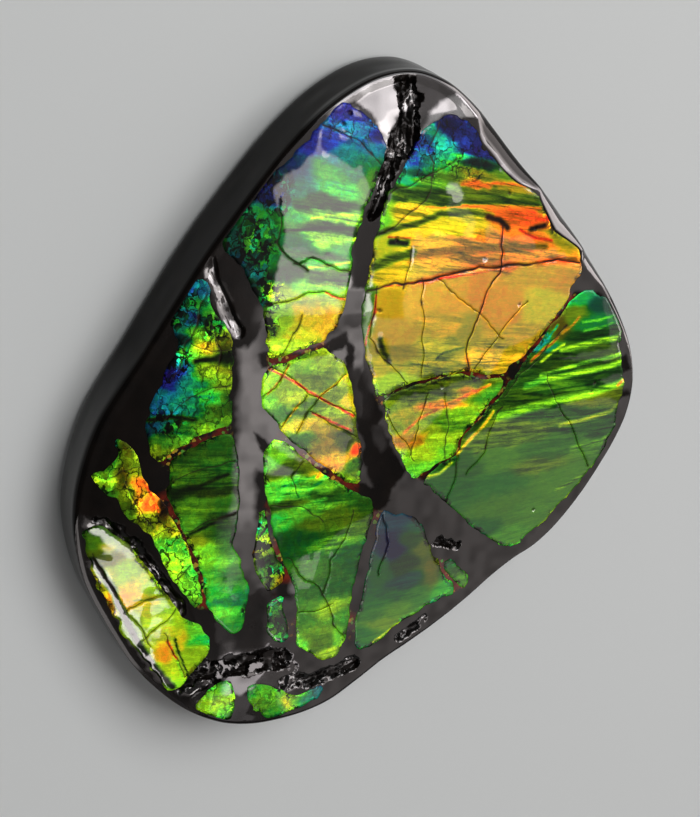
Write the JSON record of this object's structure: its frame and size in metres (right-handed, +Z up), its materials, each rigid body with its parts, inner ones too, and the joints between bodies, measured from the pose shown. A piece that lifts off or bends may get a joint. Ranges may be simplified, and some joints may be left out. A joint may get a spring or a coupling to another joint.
{
  "type": "ammolite specimen",
  "caption": "Polished teardrop hand specimen of ammolite: iridescent fossil shell plates in a dark ironstone slab, flat sawn back.",
  "frame": {"origin": "centre of the flat sawn back, in the middle of the bounding box's base", "axes": "+Z up out of the shell face, +Y along the slab towards its narrow end, +X to the right across the face"},
  "size_m": [0.0835, 0.094, 0.0132],
  "materials": {
    "ironstone": "polished to a wet gloss on the face, satin on the wall, rough and broken in the seams' pits",
    "shell_upper_centre": "fossil shell, green to lime with teal at the narrow end, polished under a clear coat",
    "shell_middle_centre": "fossil shell, lime to yellow with orange cracks, polished under a clear coat",
    "shell_lower_centre": "fossil shell, green with a lime stripe, polished under a clear coat",
    "shell_bottom_centre": "fossil shell, hazy teal to lime, polished under a clear coat",
    "shell_small_shard": "fossil shell, olive, polished under a clear coat",
    "shell_upper_right": "fossil shell, orange and yellow with green and blue at the top, polished under a clear coat",
    "shell_wedge": "fossil shell, olive, orange and green, polished under a clear coat",
    "shell_lower_right": "fossil shell, green with lime stripes, polished under a clear coat",
    "shell_left_upper": "fossil shell, teal, blue and green, polished under a clear coat",
    "shell_left_lower": "fossil shell, green with dark stripes, polished under a clear coat",
    "shell_seam_upper": "crushed fossil shell in a seam, dark with bright specks, polished under a clear coat",
    "shell_seam_lower": "crushed fossil shell in a seam, grey-green with specks, polished under a clear coat",
    "shell_left_strip": "fossil shell, orange-red to green, polished under a clear coat",
    "shell_left_flap": "fossil shell, pale lime and amber, on the low facet, polished under a clear coat",
    "shell_bottom_left": "fossil shell, lime, polished under a clear coat",
    "shell_bottom_edge": "fossil shell, lime to teal, polished under a clear coat"
  },
  "bodies": {
    "root": {"matrix": "ironstone", "shell_upper_centre": "shell_upper_centre", "shell_middle_centre": "shell_middle_centre", "shell_lower_centre": "shell_lower_centre", "shell_bottom_centre": "shell_bottom_centre", "shell_small_shard": "shell_small_shard", "shell_upper_right": "shell_upper_right", "shell_wedge": "shell_wedge", "shell_lower_right": "shell_lower_right", "shell_left_upper": "shell_left_upper", "shell_left_lower": "shell_left_lower", "shell_seam_upper": "shell_seam_upper", "shell_seam_lower": "shell_seam_lower", "shell_left_strip": "shell_left_strip", "shell_left_flap": "shell_left_flap", "shell_bottom_left": "shell_bottom_left", "shell_bottom_edge": "shell_bottom_edge"}
  },
  "joints": []
}
